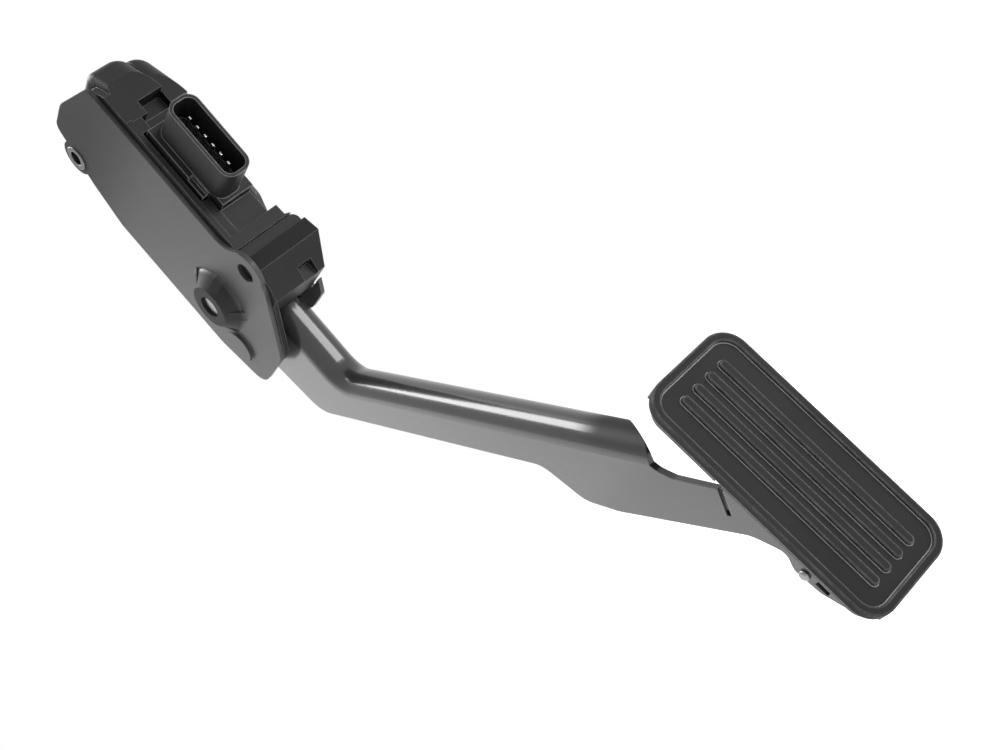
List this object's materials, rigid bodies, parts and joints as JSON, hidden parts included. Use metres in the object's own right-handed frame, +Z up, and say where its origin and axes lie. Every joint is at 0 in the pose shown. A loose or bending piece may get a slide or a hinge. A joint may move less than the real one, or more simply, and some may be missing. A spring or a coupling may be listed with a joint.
{
  "type": "accelerator pedal with position sensor",
  "caption": "Hanging accelerator pedal: folded steel arm with a ribbed rubber tread, sprung on a pivot in a side-plate bracket with a moulded position sensor and connector.",
  "frame": {"origin": "centre of the bolt hole in the bracket's front tab, on the outer face of the near plate", "axes": "+X towards the driver, +Y from the near plate across to the far plate, +Z up along the bracket"},
  "size_m": [0.2316, 0.0568, 0.3295],
  "materials": {
    "bracket_paint": "satin grey paint on pressed steel",
    "housing_plastic": "fine-textured black moulding",
    "sensor_plastic": "fine-textured black moulding",
    "arm_paint": "glossy dark grey paint on folded steel",
    "tread_rubber": "grained black rubber",
    "stop_rubber": "plain black rubber",
    "seal_rubber": "soft grey rubber",
    "pin_steel": "ground steel",
    "sleeve_steel": "dark phosphated steel",
    "spring_steel": "oiled spring wire",
    "screw_steel": "plated steel",
    "terminal_tin": "tinned contact metal",
    "bush_nylon": "natural nylon",
    "rotor_nylon": "natural nylon",
    "magnet": "dark sintered magnet",
    "board": "solder-masked board"
  },
  "bodies": {
    "bracket": {"mounting_bracket": "bracket_paint", "mount_sleeve": "sleeve_steel", "pedal_housing": "housing_plastic", "idle_stop": "stop_rubber", "full_stop": "stop_rubber", "pivot_pin": "pin_steel", "sensor_body": "sensor_plastic", "terminal_pins": "terminal_tin", "circuit_board": "board", "sensor_seal": "seal_rubber", "sensor_cover": "sensor_plastic", "sensor_screws": "screw_steel", "return_spring_outer": "spring_steel", "return_spring_inner": "spring_steel"},
    "pedal": {"pedal_arm": "arm_paint", "hub_tube": "sleeve_steel", "pivot_bushes": "bush_nylon", "drive_pin": "pin_steel", "pad_rivet": "screw_steel", "pad_rubber": "tread_rubber"},
    "rotor": {"sensor_rotor": "rotor_nylon", "rotor_magnet": "magnet"}
  },
  "joints": [
    {"name": "pedal_pivot", "type": "hinge", "parent": "bracket", "child": "pedal", "pos_m": [-0.037, 0.0166, 0.004], "axis": [0, 1, 0], "range_deg": [0, 18], "stiffness_Nm_per_rad": 11.5, "springref_deg": -26.93, "deforming": ["return_spring_outer", "return_spring_inner"]},
    {"name": "rotor_turn", "type": "hinge", "parent": "bracket", "child": "rotor", "pos_m": [-0.037, 0.0166, 0.059], "axis": [0, 1, 0], "range_deg": [-21.5, 0]}
  ],
  "couplings": [
    {"joint": "rotor_turn", "follows": "pedal_pivot", "ratio": -1.1645}
  ]
}
